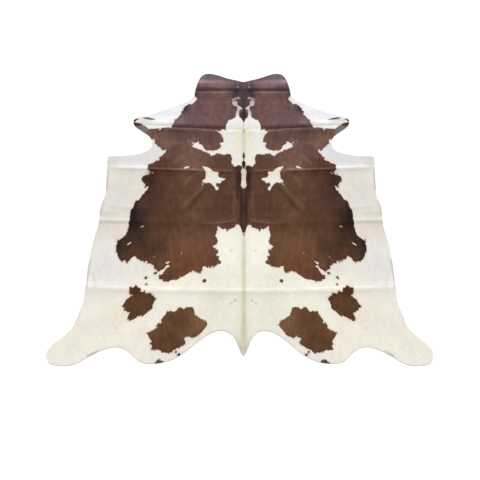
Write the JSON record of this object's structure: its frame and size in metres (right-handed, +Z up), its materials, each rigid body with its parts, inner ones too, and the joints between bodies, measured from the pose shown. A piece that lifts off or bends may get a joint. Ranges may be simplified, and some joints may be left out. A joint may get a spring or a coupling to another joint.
{
  "type": "cowhide rug",
  "caption": "Cowhide rug with its hair on, brown patches on cream, lying flat in the natural outline of the skin with the soft creases of its folding.",
  "frame": {"origin": "on the floor, under the middle of the rug's box", "axes": "+Y along the spine from the tail to the neck, +Z up out of the hair side, +X to the right seen from above with the neck away"},
  "size_m": [1.8472, 2.2118, 0.0128],
  "materials": {
    "hair_on_hide": "short glossy cow hair lying flat, dark brown patches on cream, with a suede back"
  },
  "bodies": {
    "root": {"cowhide": "hair_on_hide"}
  },
  "joints": []
}
